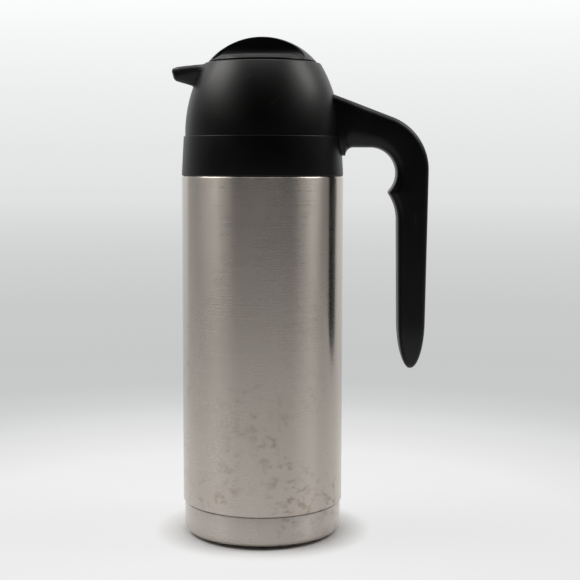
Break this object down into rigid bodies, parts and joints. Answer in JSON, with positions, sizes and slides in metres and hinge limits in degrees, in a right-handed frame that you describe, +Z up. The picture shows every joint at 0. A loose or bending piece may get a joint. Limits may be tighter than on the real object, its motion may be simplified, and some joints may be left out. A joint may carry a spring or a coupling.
{
  "type": "insulated serving carafe",
  "caption": "Tall double-walled steel serving carafe with a black domed pouring head, short spout, open-ended side handle and a finned screw-in stopper lid.",
  "frame": {"origin": "on the flask's axis, at the underside of the base pad, where the carafe stands", "axes": "+Z up along the flask's axis; the spout points to -X and the handle to +X"},
  "size_m": [0.1838, 0.116, 0.358],
  "materials": {
    "brushed_steel": "fine horizontal brushing, light handling marks",
    "base_steel": "fine horizontal brushing",
    "liner_steel": "smooth drawn steel",
    "copper_foil": "bright foil",
    "getter_metal": "dull grey",
    "pad_rubber": "matte",
    "collar_plastic": "satin moulded",
    "head_plastic": "satin moulded, lightly worn",
    "handle_plastic": "satin moulded",
    "lid_plastic": "satin moulded",
    "inner_plastic": "plain moulded",
    "seal_silicone": "translucent grey silicone",
    "foam": "open foam",
    "screw_steel": "plated"
  },
  "bodies": {
    "server": {"outer_shell": "brushed_steel", "shell_neck": "liner_steel", "inner_liner": "liner_steel", "liner_neck": "liner_steel", "radiation_foil": "copper_foil", "vacuum_base": "liner_steel", "getter_capsule": "getter_metal", "seal_bead": "getter_metal", "base_cup": "base_steel", "base_pad": "pad_rubber", "collar": "collar_plastic", "lock_ring": "inner_plastic", "neck_gasket": "seal_silicone", "pouring_head": "head_plastic", "handle": "handle_plastic", "handle_screws": "screw_steel"},
    "lid_carrier": {"stopper_gasket": "seal_silicone"},
    "lid": {"lid_cap": "lid_plastic", "stopper_body": "inner_plastic", "stopper_foam": "foam", "stopper_end": "inner_plastic", "upper_seal": "seal_silicone"}
  },
  "joints": [
    {"name": "lid_rise", "type": "slide", "parent": "server", "child": "lid_carrier", "axis": [0, 0, 1], "range_m": [0, 0.0451]},
    {"name": "lid_turn", "type": "hinge", "parent": "lid_carrier", "child": "lid", "pos_m": [0, 0, 0.34], "axis": [0, 0, 1], "range_deg": [0, 1080]}
  ],
  "couplings": [
    {"joint": "lid_rise", "follows": "lid_turn", "m_per_rad": 0.0023873}
  ]
}
